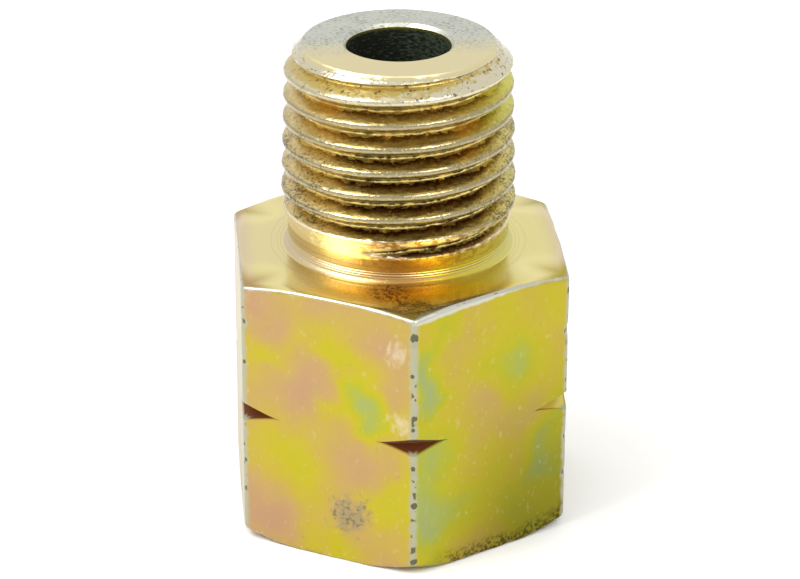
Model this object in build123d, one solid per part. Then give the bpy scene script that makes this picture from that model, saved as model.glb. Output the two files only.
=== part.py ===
"""Brake valve adapter: one turned piece of hexagon bar.

A hexagon body carries a tapered male pipe thread on top and a straight female
port below, joined by a drilled passage. Millimetres, +Z up, origin on the
turning axis in the plane of the foot face. Two hexagon corners lie on the
Y axis, so the flats are measured across X.
"""

import os
from math import atan, cos, degrees, radians, tan

from build123d import *

# Hexagon body
hex_sides = 6
hex_across_flats = 19.05
hex_height = 16.7
hex_corner_radius = 0.3
hex_edge_chamfer = 0.15
top_bevel_inner_diameter = 19.2
top_bevel_angle = 15.0
foot_diameter = 19.7
foot_bevel_angle = 30.0

# Vee groove turned through the six corners
mark_root_diameter = 20.1
mark_height = 8.33
mark_lower_angle = 30.0
mark_upper_angle = 35.0

# Neck between the hexagon and the thread
neck_diameter = 13.0
neck_length = 1.4
neck_fillet_radius = 0.4
shoulder_length = 1.5

# Male taper pipe thread, 18 threads to the inch, right-hand
inch = 25.4
threads_per_inch = 18
thread_length = 9.4
thread_taper = 1 / 16
thread_tip_diameter = 13.22
thread_flank_angle = 30.0
thread_crest_flat = 0.28
thread_root_flat = 0.12
thread_end_angle = -90.0
thread_end_height = 0.48
run_out_turns = 0.1
tip_face_diameter = 11.2

# Drilled passage, with a countersink of 45 degrees at the tip face
passage_diameter = 6.1
passage_mouth_diameter = 6.5

# Female port, metric fine thread at its minor diameter, with a mouth bevel of 45 degrees
port_minor_diameter = 12.376
port_depth = 11.5
port_mouth_diameter = 14.5
drill_point_angle = 118.0

# Clearance by which a cutting tool passes the metal
tool_overlap = 0.1

# Largest slope at which a face still counts as upright
upright_limit = 0.01

# Heights and radii worked out from the sizes above
hex_corner_reach = hex_across_flats / 2 / cos(radians(180 / hex_sides))
neck_top = hex_height + neck_length
shoulder_top = neck_top + shoulder_length
tip_height = shoulder_top + thread_length
thread_pitch = inch / threads_per_inch
cone_slope = thread_taper / 2
cone_angle = degrees(atan(cone_slope))
flank_slope = tan(radians(thread_flank_angle))
thread_depth = (thread_pitch - thread_crest_flat - thread_root_flat) / 2 / flank_slope
drill_point_height = (port_minor_diameter - passage_diameter) / 2 / tan(radians(drill_point_angle / 2))


def crest_radius(height):
    """Radius of the thread's crest cone at a height."""
    return thread_tip_diameter / 2 + (tip_height - height) * cone_slope


def turned(*points):
    """A solid of revolution about Z from the corners of its half section."""
    return revolve(Plane.XZ * make_face(Polyline(*points, close=True)), Axis.Z)


def top_rim(bar):
    """The upper edges of a bar's upright faces."""
    upright = [face for face in bar.faces() if abs(face.normal_at().Z) < upright_limit]
    edges = [edge for face in upright for edge in face.edges()]
    return [edge for edge in edges if edge.bounding_box().min.Z > hex_height / 2]


def hexagon_body():
    """The bar's hexagon, bevelled at both ends and grooved at its corners."""
    turn = 180 / hex_sides
    hexagon = RegularPolygon(hex_across_flats / 2, hex_sides, major_radius=False, rotation=turn)
    bar = extrude(fillet(hexagon.vertices(), hex_corner_radius), hex_height)
    reach = hex_corner_reach + tool_overlap
    foot_rise = (reach - foot_diameter / 2) * tan(radians(foot_bevel_angle))
    top_drop = (reach - top_bevel_inner_diameter / 2) * tan(radians(top_bevel_angle))
    ends = turned(
        (0, 0),
        (foot_diameter / 2, 0),
        (reach, foot_rise),
        (reach, hex_height - top_drop),
        (top_bevel_inner_diameter / 2, hex_height),
        (0, hex_height),
    )
    mark_depth = reach - mark_root_diameter / 2
    mark = turned(
        (mark_root_diameter / 2, mark_height),
        (reach, mark_height - mark_depth * tan(radians(mark_lower_angle))),
        (reach, mark_height + mark_depth * tan(radians(mark_upper_angle))),
    )
    body = bar & ends
    return chamfer(top_rim(body), hex_edge_chamfer) - mark


def thread_blank():
    """The neck, the shoulder and the tapered stub that is threaded."""
    neck = neck_diameter / 2
    tip = tip_face_diameter / 2
    # The tip bevel of 45 degrees meets the crest cone where both radii agree.
    bevel_depth = (crest_radius(tip_height) - tip) / (1 - cone_slope)
    return turned(
        (0, hex_height / 2),
        (neck, hex_height / 2),
        (neck, neck_top),
        (crest_radius(shoulder_top), shoulder_top),
        (crest_radius(tip_height - bevel_depth), tip_height - bevel_depth),
        (tip, tip_height),
        (0, tip_height),
    )


def groove_turn(start, rise, start_radius, slope_angle, start_angle):
    """Faces of one stretch of the thread groove, with the edges of its section.

    The stretch starts at a height and a root radius, and climbs by rise while
    its radius follows a cone of slope_angle about Z.
    """
    reach = thread_depth + tool_overlap
    half_root = thread_root_flat / 2
    half_mouth = half_root + reach * flank_slope
    corners = [(-half_root, 0), (half_root, 0), (half_mouth, reach), (-half_mouth, reach)]
    slant_pitch = thread_pitch / cos(radians(slope_angle))
    edges = []
    for offset, depth in corners:
        foot = (0, 0, start + offset)
        helix = Helix(slant_pitch, rise, start_radius + depth, foot, cone_angle=slope_angle)
        edges.append(helix.edges()[0].rotate(Axis.Z, start_angle))
    neighbours = edges[1:] + edges[:1]
    faces = [Face.make_surface_from_curves(edge, other) for edge, other in zip(edges, neighbours)]
    return faces, edges


def section_face(edges, end):
    """The flat face that closes the groove tool at one end of its edges."""
    return Face(Wire.make_polygon([edge @ end for edge in edges], close=True))


def thread_tool():
    """The helical vee tool: whole turns up past the tip and a run-out below."""
    full_start = neck_top + thread_end_height
    run_out_rise = run_out_turns * thread_pitch
    faces, edges = groove_turn(
        full_start - run_out_rise,
        run_out_rise,
        crest_radius(full_start),
        -degrees(atan(thread_depth / run_out_rise)),
        thread_end_angle - 360 * run_out_turns,
    )
    faces.append(section_face(edges, 0))
    turns = int((tip_height + thread_pitch - full_start) / thread_pitch) + 1
    for turn in range(turns):
        start = full_start + turn * thread_pitch
        root_radius = crest_radius(start) - thread_depth
        turn_faces, edges = groove_turn(start, thread_pitch, root_radius, -cone_angle, thread_end_angle)
        faces += turn_faces
    faces.append(section_face(edges, 1))
    return Solid(Shell(Face.sew_faces(faces)[0]))


def bore_tool():
    """The port, its drill point, the passage and both countersinks in one tool."""
    passage = passage_diameter / 2
    passage_mouth = passage_mouth_diameter / 2
    port = port_minor_diameter / 2
    port_mouth = port_mouth_diameter / 2
    return turned(
        (0, -tool_overlap),
        (port_mouth + tool_overlap, -tool_overlap),
        (port, port_mouth - port),
        (port, port_depth),
        (passage, port_depth + drill_point_height),
        (passage, tip_height - (passage_mouth - passage)),
        (passage_mouth + tool_overlap, tip_height + tool_overlap),
        (0, tip_height + tool_overlap),
    )


def on_neck_foot(edge):
    """Whether an edge is the circle where the neck meets the hexagon."""
    if edge.geom_type != GeomType.CIRCLE:
        return False
    at_neck = abs(edge.radius - neck_diameter / 2) < tool_overlap
    return at_neck and abs(edge.center().Z - hex_height) < tool_overlap


def adapter_body():
    """The finished adapter."""
    blank = hexagon_body() + thread_blank()
    neck_foot = [edge for edge in blank.edges() if on_neck_foot(edge)]
    blank = fillet(neck_foot, neck_fillet_radius)
    return blank - thread_tool() - bore_tool()


os.makedirs("parts", exist_ok=True)
export_step(adapter_body(), "parts/adapter_body.step")
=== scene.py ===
"""Looks of the brake valve adapter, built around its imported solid.

The adapter is one turned piece, so it is one mesh: a hexagon bar, a taper
threaded stub joined to it and a threaded port and passage cut out of both.
Every mesh is modelled in millimetres about the turning axis and is brought to
metres at the end.
"""

import logging
import math
from collections.abc import Callable, Sequence
from dataclasses import dataclass, field
from enum import Enum
from functools import reduce

import bmesh
import bpy
from mathutils import Matrix, Vector, noise

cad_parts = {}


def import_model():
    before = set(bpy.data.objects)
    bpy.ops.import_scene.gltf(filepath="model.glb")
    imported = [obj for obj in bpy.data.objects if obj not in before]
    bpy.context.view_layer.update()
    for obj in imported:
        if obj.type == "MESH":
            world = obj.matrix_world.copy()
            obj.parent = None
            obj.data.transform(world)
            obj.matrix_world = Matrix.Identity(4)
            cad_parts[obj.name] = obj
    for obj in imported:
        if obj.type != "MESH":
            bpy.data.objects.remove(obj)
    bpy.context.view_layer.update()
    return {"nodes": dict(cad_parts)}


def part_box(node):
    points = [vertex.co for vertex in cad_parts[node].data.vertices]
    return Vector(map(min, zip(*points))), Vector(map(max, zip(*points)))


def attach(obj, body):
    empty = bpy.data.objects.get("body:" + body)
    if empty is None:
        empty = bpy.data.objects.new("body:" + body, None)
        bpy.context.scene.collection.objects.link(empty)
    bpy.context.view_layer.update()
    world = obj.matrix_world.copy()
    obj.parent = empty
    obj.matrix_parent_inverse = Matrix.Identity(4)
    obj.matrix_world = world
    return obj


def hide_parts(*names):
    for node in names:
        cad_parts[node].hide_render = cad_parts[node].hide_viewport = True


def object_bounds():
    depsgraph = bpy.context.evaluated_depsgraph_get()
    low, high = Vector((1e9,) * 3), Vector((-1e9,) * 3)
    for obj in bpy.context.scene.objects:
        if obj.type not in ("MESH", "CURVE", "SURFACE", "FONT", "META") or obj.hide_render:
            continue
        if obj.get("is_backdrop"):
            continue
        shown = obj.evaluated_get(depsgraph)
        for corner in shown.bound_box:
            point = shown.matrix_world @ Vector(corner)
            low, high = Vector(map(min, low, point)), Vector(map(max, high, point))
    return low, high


LOG = logging.getLogger("adapter")

MM = 0.001
PHOTO_WIDTH = 800
PHOTO_HEIGHT = 579
SENSOR_WIDTH = 36.0

CAD_NODE = "adapter_body"
CAD_BODY = "root"

SIDE_ANGLE = 60


class BooleanKind(Enum):
    """What one solid does to another."""

    JOIN = "UNION"
    CUT = "DIFFERENCE"


class WallSide(Enum):
    """The side of a threaded wall that the metal is on."""

    INSIDE = "male"
    OUTSIDE = "female"


Profile = Sequence[tuple[float, float]]
RingRule = Callable[[float], tuple[float, float]]


def direction(azimuth: float, elevation: float) -> Vector:
    """Unit vector away from the turning axis.

    Args:
        azimuth: Degrees about the axis, from the front towards +X.
        elevation: Degrees above level.

    Returns:
        The direction.
    """
    turn, rise = math.radians(azimuth), math.radians(elevation)
    return Vector((math.sin(turn) * math.cos(rise), -math.cos(turn) * math.cos(rise), math.sin(rise)))


def off_flat(angle: float) -> float:
    """Angle in radians from the middle of the nearest flat."""
    return angle - math.radians(SIDE_ANGLE * round(math.degrees(angle) / SIDE_ANGLE))


def activate(obj: bpy.types.Object) -> None:
    """Make one object the only selected and active one.

    Args:
        obj: The object.
    """
    bpy.ops.object.select_all(action="DESELECT")
    obj.select_set(True)
    bpy.context.view_layer.objects.active = obj


def begin_edit(obj: bpy.types.Object) -> bmesh.types.BMesh:
    """Open an object in edit mode with nothing selected.

    Args:
        obj: The mesh object to edit.

    Returns:
        The edit mesh, for selecting by place or normal.
    """
    activate(obj)
    bpy.ops.object.mode_set(mode="EDIT")
    bpy.ops.mesh.select_mode(type="VERT")
    bpy.ops.mesh.select_all(action="DESELECT")
    return bmesh.from_edit_mesh(obj.data)


def end_edit() -> None:
    """Leave edit mode."""
    bpy.ops.object.mode_set(mode="OBJECT")


def select_vertices(obj: bpy.types.Object, rule: Callable[[bmesh.types.BMVert], bool]) -> None:
    """Select only the vertices that a rule picks, in edit mode.

    Args:
        obj: The mesh object that is open in edit mode.
        rule: Tells whether a vertex is picked.
    """
    bpy.ops.mesh.select_mode(type="VERT")
    bpy.ops.mesh.select_all(action="DESELECT")
    mesh = bmesh.from_edit_mesh(obj.data)
    for vertex in mesh.verts:
        if rule(vertex):
            vertex.select_set(True)
    mesh.select_flush(True)
    bmesh.update_edit_mesh(obj.data)


def apply_modifier(obj: bpy.types.Object, modifier: bpy.types.Modifier) -> None:
    """Apply one modifier for good."""
    activate(obj)
    bpy.ops.object.modifier_apply(modifier=modifier.name)


def combine(target: bpy.types.Object, tool: bpy.types.Object, kind: BooleanKind) -> None:
    """Join a solid to another or cut it, and use the other up.

    Args:
        target: The solid that stays.
        tool: The solid that acts on it.
        kind: What the tool does.
    """
    modifier = target.modifiers.new(kind.name.lower(), "BOOLEAN")
    modifier.operation = kind.value
    modifier.solver = "EXACT"
    modifier.object = tool
    apply_modifier(target, modifier)
    bpy.data.objects.remove(tool)


def turned_solid(name: str, profile: Profile, segments: int) -> bpy.types.Object:
    """A closed solid of revolution, its rings extruded up a profile.

    Args:
        name: Name of the new object.
        profile: Radius and height of each ring, from the bottom up.
        segments: Number of sides.

    Returns:
        The new object.
    """
    (radius, height), *rings = profile
    bpy.ops.mesh.primitive_circle_add(
        vertices=segments, radius=radius, location=(0, 0, height), fill_type="NGON"
    )
    obj = bpy.context.object
    obj.name = name
    bpy.ops.object.transform_apply()
    begin_edit(obj)
    bpy.ops.mesh.select_all(action="SELECT")
    extrude_rings(radius, height, rings)
    bpy.ops.mesh.select_all(action="SELECT")
    bpy.ops.mesh.normals_make_consistent(inside=False)
    end_edit()
    return obj


def extrude_rings(radius: float, height: float, rings: Profile) -> None:
    """Extrude the selected ring through further rings of a profile.

    Args:
        radius: Radius of the selected ring.
        height: Height of the selected ring.
        rings: Radius and height of each further ring.
    """
    for next_radius, next_height in rings:
        bpy.ops.mesh.extrude_region_move(
            TRANSFORM_OT_translate={"value": (0, 0, next_height - height)}
        )
        scale = next_radius / radius
        bpy.ops.transform.resize(value=(scale, scale, 1), center_override=(0, 0, next_height))
        radius, height = next_radius, next_height


@dataclass
class PhotoCamera:
    """The photograph's view, worked out from points of the adapter seen in it."""

    azimuth: float = -4.9128
    elevation: float = 23.7538
    distance: float = 185.2657
    focal_pixels: float = 3135.67
    roll: float = -0.1965
    aim_height: float = 16.6
    aim_pixel: tuple[float, float] = (397.888, 239.517)

    def place(self) -> bpy.types.Object:
        """Create the camera and make it the scene's own.

        Returns:
            The camera object.
        """
        back = direction(self.azimuth, self.elevation)
        right = (-back).cross(Vector((0, 0, 1))).normalized()
        upward = back.cross(right)
        base = Matrix((right, upward, -back))
        across = (self.aim_pixel[0] - PHOTO_WIDTH / 2) / self.focal_pixels
        down = (self.aim_pixel[1] - PHOTO_HEIGHT / 2) / self.focal_pixels
        pan = Vector((0, 0, 1)).rotation_difference(Vector((across, -down, 1))).to_matrix()
        roll = Matrix.Rotation(math.radians(self.roll), 3, "Z")
        turned = roll @ pan @ base
        data = bpy.data.cameras.new("photo_camera")
        data.sensor_width = SENSOR_WIDTH
        data.lens = self.focal_pixels / PHOTO_WIDTH * SENSOR_WIDTH
        data.clip_start = MM
        camera = bpy.data.objects.new("photo_camera", data)
        bpy.context.scene.collection.objects.link(camera)
        rotation = Matrix((turned[0], turned[1], -turned[2])).transposed().to_4x4()
        place = (back * self.distance + Vector((0, 0, self.aim_height))) * MM
        camera.matrix_world = Matrix.Translation(place) @ rotation
        bpy.context.scene.camera = camera
        return camera


@dataclass(frozen=True)
class SoftLight:
    """A square soft box that shines on the middle of the adapter."""

    name: str
    azimuth: float
    elevation: float
    distance: float
    size: float
    power: float

    def place(self, aim: Vector) -> None:
        """Hang the light.

        Args:
            aim: The point in metres that it faces.
        """
        away = direction(self.azimuth, self.elevation)
        data = bpy.data.lights.new(self.name, "AREA")
        data.shape = "SQUARE"
        data.size = self.size
        data.energy = self.power
        light = bpy.data.objects.new(self.name, data)
        bpy.context.scene.collection.objects.link(light)
        light.location = aim + away * self.distance
        light.rotation_euler = away.to_track_quat("Z", "Y").to_euler()


@dataclass
class Studio:
    """A plain pale floor, a pale surround and soft boxes."""

    floor_size: float = 6.0
    floor_tone: float = 0.93
    floor_roughness: float = 0.9
    surround_strength: float = 1.0
    lights: tuple[SoftLight, ...] = (
        SoftLight("key_light", -74, 51, 0.45, 0.26, 1.3),
        SoftLight("fill_light", 31, 48, 0.50, 0.22, 0.7),
    )

    def build(self, aim: Vector) -> None:
        """Set up the floor, the surround and the lights.

        Args:
            aim: The point in metres that the lights face.
        """
        bpy.context.scene.view_settings.view_transform = "Standard"
        self._floor()
        self._surround()
        for light in self.lights:
            light.place(aim)

    def _floor(self) -> None:
        """Lay the floor under the foot."""
        bpy.ops.mesh.primitive_plane_add(size=self.floor_size, location=(0, 0, 0))
        floor = bpy.context.object
        floor.name = "floor"
        material = bpy.data.materials.new("pale_floor")
        material.use_nodes = True
        shader = material.node_tree.nodes["Principled BSDF"]
        shader.inputs["Base Color"].default_value = (self.floor_tone,) * 3 + (1,)
        shader.inputs["Roughness"].default_value = self.floor_roughness
        floor.data.materials.append(material)
        floor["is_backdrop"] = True

    def _surround(self) -> None:
        """Light everything from a pale sky."""
        world = bpy.data.worlds.new("pale_surround")
        world.use_nodes = True
        background = world.node_tree.nodes["Background"]
        background.inputs["Color"].default_value = (1, 1, 1, 1)
        background.inputs["Strength"].default_value = self.surround_strength
        bpy.context.scene.world = world


@dataclass(frozen=True)
class Nick:
    """A small dent in an edge, given by its place and size in millimetres."""

    place: tuple[float, float, float]
    reach: float
    depth: float


def smooth_max(first: float, second: float, width: float) -> float:
    """The larger of two distances, with the crease between them rounded.

    Args:
        first: One signed distance.
        second: The other signed distance.
        width: Width over which the crease is rounded.

    Returns:
        The rounded maximum.
    """
    blend = max(width - abs(first - second), 0.0) / width
    return max(first, second) + blend * blend * width / 4


@dataclass
class HexagonBar:
    """The wrench hexagon with its bevelled ends and grooved corners.

    A round column of level rings is laid onto the hexagon. Its columns crowd
    towards the six upright edges and its rings crowd into the worn rims.
    """

    height: float
    across_flats: float
    end_diameter: float = 19.2
    end_bevel: float = 15.0
    foot_diameter: float = 19.7
    foot_bevel: float = 30.0
    corner_wear: float = 0.26
    rim_wear: float = 0.22
    crease_wear: float = 0.1
    wear_noise: tuple[tuple[float, float], ...] = ((0.45, 0.9), (0.35, 3.1))
    mark_diameter: float = 20.1
    mark_height: float = 8.33
    mark_lower: float = 30.0
    mark_upper: float = 35.0
    columns_per_side: int = 36
    crowding: float = 1.8
    fan_reach: float = 0.6
    ray_steps: int = 9
    weld: float = 0.002
    fan_angles: tuple[float, ...] = (0, 12, 24, 32, 37, 41, 45, 49, 53, 58, 66, 78, 90)
    flat_rows: int = 34
    mark_rows: int = 4
    foot_ring: float = 8.4
    end_ring: float = 7.6
    nicks: tuple[Nick, ...] = (
        Nick((0.0, -10.9, 15.3), 0.75, 0.10),
        Nick((-0.1, -10.9, 12.9), 0.35, 0.08),
        Nick((0.05, -10.9, 10.2), 0.55, 0.10),
        Nick((-0.05, -10.9, 9.5), 0.35, 0.07),
        Nick((-0.05, -10.9, 7.0), 0.45, 0.10),
        Nick((0.05, -10.9, 4.6), 0.60, 0.09),
        Nick((0.05, -10.7, 0.9), 0.70, 0.12),
        Nick((9.45, -5.45, 12.9), 0.60, 0.12),
        Nick((9.45, -5.45, 6.0), 0.45, 0.08),
        Nick((9.45, -5.45, 3.6), 0.50, 0.08),
        Nick((-9.45, -5.45, 14.2), 0.60, 0.10),
        Nick((-9.45, -5.45, 11.6), 0.50, 0.08),
        Nick((-9.45, -5.45, 5.2), 0.45, 0.08),
    )

    @property
    def apothem(self) -> float:
        """Distance from the axis to a flat."""
        return self.across_flats / 2

    @property
    def reach(self) -> float:
        """Radius of the hexagon's sharp corners."""
        return self.across_flats / math.sqrt(3)

    def build(self) -> bpy.types.Object:
        """Make the bar.

        Returns:
            The bar as a closed solid in millimetres.
        """
        rows = self._rows()
        column = [(self.reach, float(row)) for row in range(len(rows))]
        bar = turned_solid("hexagon_bar", column, 6 * self.columns_per_side)
        mesh = begin_edit(bar)
        for vertex in mesh.verts:
            angle = self._crowded(math.degrees(math.atan2(vertex.co.y, vertex.co.x)))
            radius, height = rows[round(vertex.co.z)](angle)
            vertex.co = Vector((radius * math.cos(angle), radius * math.sin(angle), height))
        for nick in self.nicks:
            self._dent(mesh, nick)
        bpy.ops.mesh.select_all(action="SELECT")
        bpy.ops.mesh.remove_doubles(threshold=self.weld)
        bpy.ops.mesh.normals_make_consistent(inside=False)
        end_edit()
        return bar

    def _crowded(self, degrees: float) -> float:
        """Angle in radians of a column, drawn towards its nearest corner.

        Args:
            degrees: Angle of the evenly spaced column, in degrees.

        Returns:
            The angle of the crowded column, in radians.
        """
        half = SIDE_ANGLE / 2
        corner = SIDE_ANGLE * round((degrees - half) / SIDE_ANGLE) + half
        share = (degrees - corner) / half
        drawn = math.copysign(abs(share) ** self.crowding, share)
        return math.radians(corner + half * drawn)

    def _distance(self, radius: float, angle: float, height: float) -> float:
        """Signed distance of a place from the worn bar's surface.

        Args:
            radius: Distance from the turning axis.
            angle: Angle about the turning axis, in radians.
            height: Height above the foot.

        Returns:
            The distance, above 0 outside the bar.
        """
        local = off_flat(angle)
        near = radius * math.cos(local) - self.apothem
        far = radius * math.cos(math.radians(SIDE_ANGLE) - abs(local)) - self.apothem
        place = Vector((radius * math.cos(angle), radius * math.sin(angle), height))
        rough = 1.0
        for amount, scale in self.wear_noise:
            rough += amount * noise.noise(place * scale)
        side = smooth_max(near, far, self.corner_wear * rough)
        foot_slope, end_slope = math.radians(self.foot_bevel), math.radians(self.end_bevel)
        foot = (radius - self.foot_diameter / 2) * math.sin(foot_slope) - height * math.cos(foot_slope)
        drop = height - self.height
        end = (radius - self.end_diameter / 2) * math.sin(end_slope) + drop * math.cos(end_slope)
        foot = smooth_max(foot, -height, self.crease_wear)
        end = smooth_max(end, drop, self.crease_wear)
        return smooth_max(side, max(foot, end), self.rim_wear * rough)

    def _surface(self, angle: float, height: float, lean: float = 0.0) -> tuple[float, float]:
        """Follow a ray out of the bar to its surface.

        Args:
            angle: Angle of the column in radians.
            height: Height of the ray's start, which lies inside the bar.
            lean: Angle of the ray above level, in degrees.

        Returns:
            Radius and height of the place where the ray leaves the bar.
        """
        outward, upward = math.cos(math.radians(lean)), math.sin(math.radians(lean))
        start = self.apothem / math.cos(off_flat(angle)) - self.fan_reach
        travel = 2 * self.fan_reach
        for _ in range(self.ray_steps):
            travel -= self._distance(start + travel * outward, angle, height + travel * upward)
        return start + travel * outward, height + travel * upward

    def _rows(self) -> list[RingRule]:
        """The rule for each ring, from the foot face to the end face.

        Returns:
            The rules, which give a ring's radius and height at an angle.
        """
        foot, top = self.fan_reach, self.height - self.fan_reach

        def fan(height: float, lean: float) -> RingRule:
            """Rule for a ring of the worn rim."""
            return lambda angle: self._surface(angle, height, lean)

        def side(share: float, upper: bool) -> RingRule:
            """Rule for a ring of the flats."""
            return lambda angle: self._side(angle, share, upper)

        def mark(share: float) -> RingRule:
            """Rule for a ring of the groove."""
            return lambda angle: self._mark(angle, share)

        rows = [lambda angle: (self.foot_ring, 0.0)]
        rows += [fan(foot, -lean) for lean in reversed(self.fan_angles)]
        rows += [side(row / self.flat_rows, False) for row in range(1, self.flat_rows)]
        rows += [mark(step / self.mark_rows - 1) for step in range(2 * self.mark_rows + 1)]
        rows += [side(row / self.flat_rows, True) for row in range(1, self.flat_rows)]
        rows += [fan(top, lean) for lean in self.fan_angles]
        rows.append(lambda angle: (self.end_ring, self.height))
        return rows

    def _mark_edge(self, angle: float, slope: float) -> tuple[float, float]:
        """Radius and height of the groove's edge above (or below) its root.

        Args:
            angle: Angle about the turning axis, in radians.
            slope: Slope of the groove's side in degrees, below 0 for the lower side.

        Returns:
            Radius and height of the edge.
        """
        radius, _ = self._surface(angle, self.mark_height)
        depth = max(0.0, radius - self.mark_diameter / 2)
        return radius, self.mark_height + depth * math.tan(math.radians(slope))

    def _mark(self, angle: float, share: float) -> tuple[float, float]:
        """Place in the vee groove, from its lower edge (-1) to its upper one (1).

        Args:
            angle: Angle about the turning axis, in radians.
            share: Share of the way from the root to an edge, below 0 downwards.

        Returns:
            Radius and height of the place.
        """
        slope = self.mark_upper if share > 0 else -self.mark_lower
        radius, height = self._mark_edge(angle, slope)
        root = min(radius, self.mark_diameter / 2)
        part = abs(share)
        return root + (radius - root) * part, self.mark_height + (height - self.mark_height) * part

    def _side(self, angle: float, share: float, upper: bool) -> tuple[float, float]:
        """Place on a flat, below or above the groove.

        Args:
            angle: Angle about the turning axis, in radians.
            share: Share of the way up, from 0 to 1.
            upper: Whether the place is above the groove.

        Returns:
            Radius and height of the place.
        """
        if upper:
            low = self._mark_edge(angle, self.mark_upper)[1]
            high = self.height - self.fan_reach
        else:
            low = self.fan_reach
            high = self._mark_edge(angle, -self.mark_lower)[1]
        return self._surface(angle, low + (high - low) * share)

    @staticmethod
    def _dent(mesh: bmesh.types.BMesh, nick: Nick) -> None:
        """Push the surface in around a nick.

        Args:
            mesh: The bar's edit mesh.
            nick: The dent.
        """
        centre = Vector(nick.place)
        for vertex in mesh.verts:
            away = (vertex.co - centre).length / nick.reach
            if away < 1:
                push = nick.depth * (1 - away * away) ** 2
                level = Vector((vertex.co.x, vertex.co.y, 0)).normalized()
                vertex.co -= level * push


@dataclass
class ThreadedWall:
    """A round wall with one helical vee groove or ridge about the turning axis.

    The wall is one pitch of section swept up a helix. A rule then gives each
    point of it its final radius, which tapers, ends and bevels the thread.
    """

    name: str
    side: WallSide
    crest_radius: float
    depth: float
    pitch: float
    groove_height: float
    crest_flat: float
    root_flat: float
    bottom: float
    top: float
    radius_rule: Callable[[float, float, float], float]
    creases: tuple[float, ...] = ()
    steps: int = 120
    shares: tuple[float, ...] = (0, 0.05, 0.12, 0.25, 0.4, 0.55, 0.7, 0.8, 0.88, 0.94, 1, 1.06, 1.14)
    crest_round: float = 0.2
    root_round: float = 0.08
    weld: float = 0.001
    cut_threshold: float = 0.0001

    def build(self) -> bpy.types.Object:
        """Sweep the wall, cut it level at both ends and shape it.

        Returns:
            The open wall in millimetres, with level rings at both ends.
        """
        wall = self._section()
        self._sweep(wall)
        self._cut_level(wall)
        self._shape(wall)
        return wall

    def _groove_depth(self, height: float) -> float:
        """Depth of the section at a height above the groove's middle.

        Args:
            height: Height above the groove's middle.

        Returns:
            The depth, from the crest.
        """
        crest_edge = (self.pitch - self.crest_flat) / 2
        root_edge = self.root_flat / 2
        slant = (crest_edge - abs(height)) / (crest_edge - root_edge) * self.depth
        rounded = smooth_max(slant, 0.0, self.crest_round)
        return self.depth - smooth_max(self.depth - rounded, 0.0, self.root_round)

    def _section_heights(self) -> list[float]:
        """Heights of the section's points, from one crest to the next.

        Returns:
            The heights above the groove's middle.
        """
        root_edge = self.root_flat / 2
        rise = (self.pitch - self.crest_flat) / 2 - root_edge
        upper = [root_edge + rise * share for share in self.shares] + [self.pitch / 2]
        return [-height for height in reversed(upper)] + [0.0] + upper

    def _section(self) -> bpy.types.Object:
        """Draw one pitch of the thread's section as a chain of edges.

        Returns:
            The chain as an object.
        """
        sign = -1 if self.side is WallSide.INSIDE else 1
        turns_below = math.ceil((self.groove_height - self.bottom) / self.pitch) + 1
        base = self.groove_height - turns_below * self.pitch
        places = [
            Vector((self.crest_radius + sign * self._groove_depth(height), 0, base + height))
            for height in self._section_heights()
        ]
        bpy.ops.mesh.primitive_plane_add(size=1, location=places[0])
        wall = bpy.context.object
        wall.name = self.name
        bpy.ops.object.transform_apply()
        begin_edit(wall)
        bpy.ops.mesh.select_all(action="SELECT")
        bpy.ops.mesh.merge(type="CENTER")
        for here, there in zip(places, places[1:]):
            bpy.ops.mesh.extrude_vertices_move(TRANSFORM_OT_translate={"value": there - here})
        end_edit()
        return wall

    def _sweep(self, wall: bpy.types.Object) -> None:
        """Turn the section up the helix, one pitch to a turn.

        Args:
            wall: The section, which becomes the wall.
        """
        lowest = min(vertex.co.z for vertex in wall.data.vertices)
        screw = wall.modifiers.new("turns", "SCREW")
        screw.axis = "Z"
        screw.angle = 2 * math.pi
        screw.screw_offset = self.pitch
        screw.iterations = math.ceil((self.top - lowest) / self.pitch) + 1
        screw.steps = self.steps
        screw.render_steps = self.steps
        apply_modifier(wall, screw)
        begin_edit(wall)
        bpy.ops.mesh.select_all(action="SELECT")
        bpy.ops.mesh.remove_doubles(threshold=self.weld)
        end_edit()

    def _cut_level(self, wall: bpy.types.Object) -> None:
        """Cut the ends off level and put a ring at each crease.

        Args:
            wall: The wall so far.
        """
        for height in (self.bottom, *self.creases, self.top):
            begin_edit(wall)
            bpy.ops.mesh.select_all(action="SELECT")
            bpy.ops.mesh.bisect(
                plane_co=(0, 0, height),
                plane_no=(0, 0, 1),
                clear_inner=height == self.bottom,
                clear_outer=height == self.top,
                threshold=self.cut_threshold,
            )
            end_edit()

    def _shape(self, wall: bpy.types.Object) -> None:
        """Give each point the radius that the rule says.

        Args:
            wall: The wall so far.
        """
        mesh = begin_edit(wall)
        for vertex in mesh.verts:
            radius = math.hypot(vertex.co.x, vertex.co.y)
            angle = math.atan2(vertex.co.y, vertex.co.x)
            new_radius = self.radius_rule(radius, angle, vertex.co.z)
            vertex.co.x *= new_radius / radius
            vertex.co.y *= new_radius / radius
        bmesh.update_edit_mesh(wall.data)
        end_edit()


def helix_phase(angle: float, height: float, groove_height: float, pitch: float) -> float:
    """Turns up a helical groove at a place, whole at the groove's own centre line."""
    return (height - groove_height) / pitch - angle / (2 * math.pi)


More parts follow.
